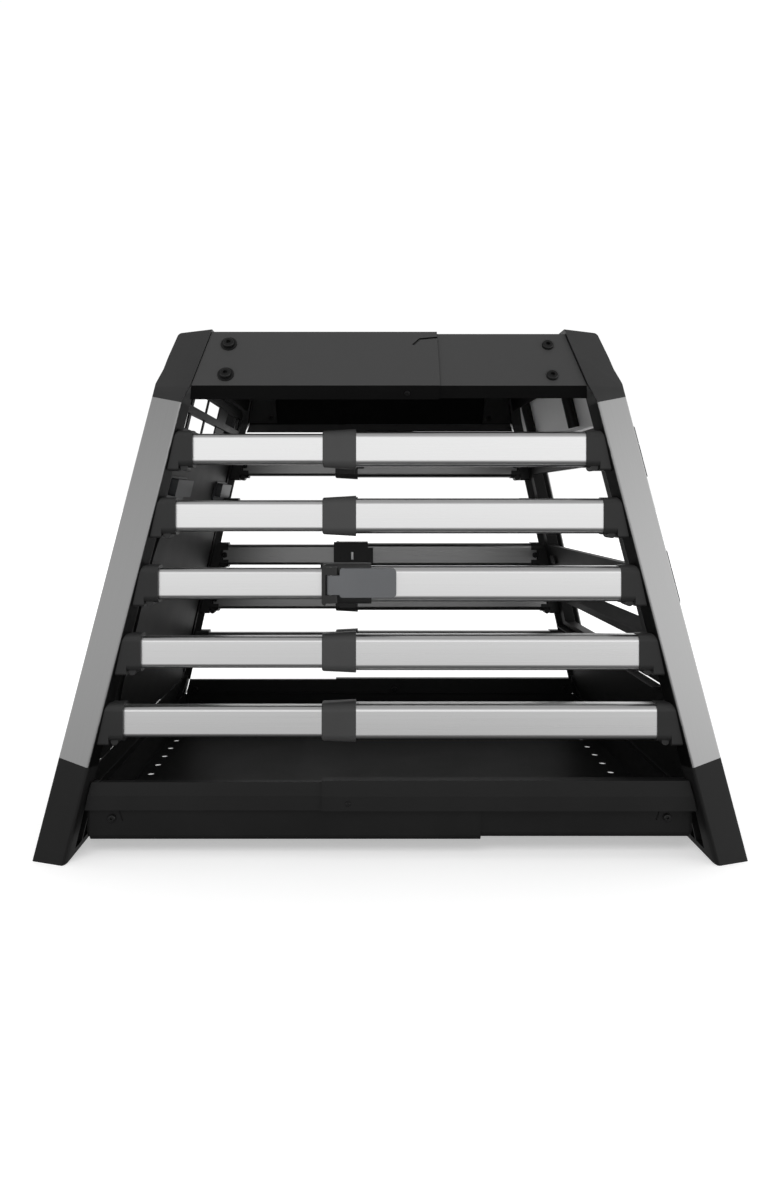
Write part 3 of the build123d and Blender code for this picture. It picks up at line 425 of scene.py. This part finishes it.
def add_lock_slide(side, sign):
    """Bright metal slide that shows in the slot on the inner side of a lock housing."""
    across = sorted(sign * y for y in SLIDE_Y)
    corners = [(x, y, z) for x in SLIDE_X for y in across for z in SLIDE_Z]
    mesh = bpy.data.meshes.new(f"lock_slide_{side}")
    mesh.from_pydata(corners, [], BLOCK_SIDES)
    slide = bpy.data.objects.new(f"lock_slide_{side}", mesh)
    scene.collection.objects.link(slide)
    soften(slide, SLIDE_EDGE)
    mesh.materials.append(FINISHES["slide"])
    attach(slide, "rear_half")


add_lock_slide("left", -1)
add_lock_slide("right", 1)

# ------------------------------------------------------------------ floor, light and camera

WHITE = (1.0, 1.0, 1.0, 1.0)

# Half the floor's width, then the distances over which its glow grows, and the glow there.
FLOOR_SIZE = 30.0
FLOOR_REACH = (0.9, 3.0)
FLOOR_GLOW = (0.42, 0.92)


def add_floor():
    """Plain pale floor that glows a little, and more far out, where the softboxes don't reach."""
    mesh = bpy.data.meshes.new("floor")
    far = FLOOR_SIZE
    corners = [(-far, -far, 0), (far, -far, 0), (far, far, 0), (-far, far, 0)]
    mesh.from_pydata(corners, [], [(0, 1, 2, 3)])
    floor = bpy.data.objects.new("floor", mesh)
    scene.collection.objects.link(floor)
    material, shader = new_material("floor")
    web = Weaver(material)
    tone = web.ramp(web.noise(web.place, scale=2.0), grey(0.78), grey(0.8))
    web.link(tone, shader.inputs["Base Color"])
    shader.inputs["Roughness"].default_value = 0.9
    shader.inputs["Specular IOR Level"].default_value = 0.0
    shader.inputs["Emission Color"].default_value = WHITE
    distance = web.nodes.new("ShaderNodeVectorMath")
    distance.operation = "LENGTH"
    web.link(web.place, distance.inputs[0])
    glow = web.between(distance.outputs["Value"], *FLOOR_REACH, *FLOOR_GLOW)
    web.link(glow, shader.inputs["Emission Strength"])
    mesh.materials.append(material)
    floor.visible_glossy = False


# Elevation in degrees and brightness of the studio walls, as the object sees them.
STUDIO = (
    (-90, 0.05), (-45, 0.09), (-27, 0.22), (-16, 0.5), (-11, 0.66), (-6, 0.85), (-1, 1.02),
    (4, 1.1), (12, 1.1), (20, 0.6), (40, 0.36), (60, 0.3), (90, 0.4),
)
# Brightness of the backdrop that the camera sees.
BACKDROP = 1.03
# Extra brightness of the studio towards +X, and where along X it starts and is full.
REAR_GLOW = 0.8
REAR_SPAN = (0.5, 0.9)


def add_world():
    """Studio: bright near eye level, darker overhead and low down. The camera sees a backdrop."""
    world = bpy.data.worlds.new("studio")
    scene.world = world
    world.use_nodes = True
    world.node_tree.nodes.clear()
    web = Weaver(world, "Generated")
    way = web.split(web.place)
    ramp = web.nodes.new("ShaderNodeValToRGB")
    web.link(web.between(way["Z"], -1.0, 1.0), ramp.inputs["Fac"])
    stops = [((sin(radians(angle)) + 1) / 2, (*grey(value), 1)) for angle, value in STUDIO]
    elements = ramp.color_ramp.elements
    elements[0].position, elements[0].color = stops[0]
    elements[1].position, elements[1].color = stops[-1]
    for position, color in stops[1:-1]:
        elements.new(position).color = color
    walls = web.nodes.new("ShaderNodeVectorMath")
    walls.operation = "SCALE"
    web.link(ramp.outputs["Color"], walls.inputs[0])
    web.link(web.between(way["X"], *REAR_SPAN, 1.0, 1.0 + REAR_GLOW), walls.inputs["Scale"])
    by_camera = web.nodes.new("ShaderNodeLightPath").outputs["Is Camera Ray"]
    seen = web.mix("MIX", by_camera, walls.outputs["Vector"], (*grey(BACKDROP), 1.0))
    back = web.nodes.new("ShaderNodeBackground")
    output = web.nodes.new("ShaderNodeOutputWorld")
    web.link(seen, back.inputs["Color"])
    web.link(back.outputs["Background"], output.inputs["Surface"])


# Name, place and size of each softbox, the point that they face, and their power in watts.
SOFTBOXES = (
    ("key", (-0.6, -2.2, 2.2), (2.0, 1.4)),
    ("top", (0.2, 0.4, 2.6), (2.2, 2.2)),
)
SOFTBOX_TARGET = (0.0, 0.0, 0.3)
SOFTBOX_POWER = 30.0


def add_softbox(name, place, size):
    """Large soft light. It leaves no highlight of its own shape."""
    light = bpy.data.lights.new(name, "AREA")
    light.shape = "RECTANGLE"
    light.size, light.size_y = size
    light.energy = SOFTBOX_POWER
    lamp = bpy.data.objects.new(name, light)
    lamp.location = place
    lamp.visible_glossy = False
    facing = Vector(SOFTBOX_TARGET) - Vector(place)
    lamp.rotation_euler = facing.to_track_quat("-Z", "Y").to_euler()
    scene.collection.objects.link(lamp)


# The lens shows a width equal to the distance, on an image of 780 by 1196.
IMAGE_WIDTH = 780.0
IMAGE_HEIGHT = 1196.0
SENSOR = 36.0
CAMERA_PLACE = (-0.0345, -1.201, 0.4285)
CAMERA_SHIFT = (0.0242, -0.0824)
CAMERA_CLIP = 0.01


def add_camera():
    """Level camera facing the left side, with a small shift for the framing."""
    camera = bpy.data.cameras.new("camera")
    camera.sensor_width = SENSOR
    camera.lens = SENSOR * IMAGE_WIDTH / IMAGE_HEIGHT
    camera.shift_x, camera.shift_y = CAMERA_SHIFT
    camera.clip_start = CAMERA_CLIP
    item = bpy.data.objects.new("camera", camera)
    item.location = CAMERA_PLACE
    item.rotation_euler = (radians(90), 0, 0)
    scene.collection.objects.link(item)
    scene.camera = item


add_camera()
add_floor()
add_world()
for name, place, size in SOFTBOXES:
    add_softbox(name, place, size)
scene.view_settings.view_transform = "Standard"
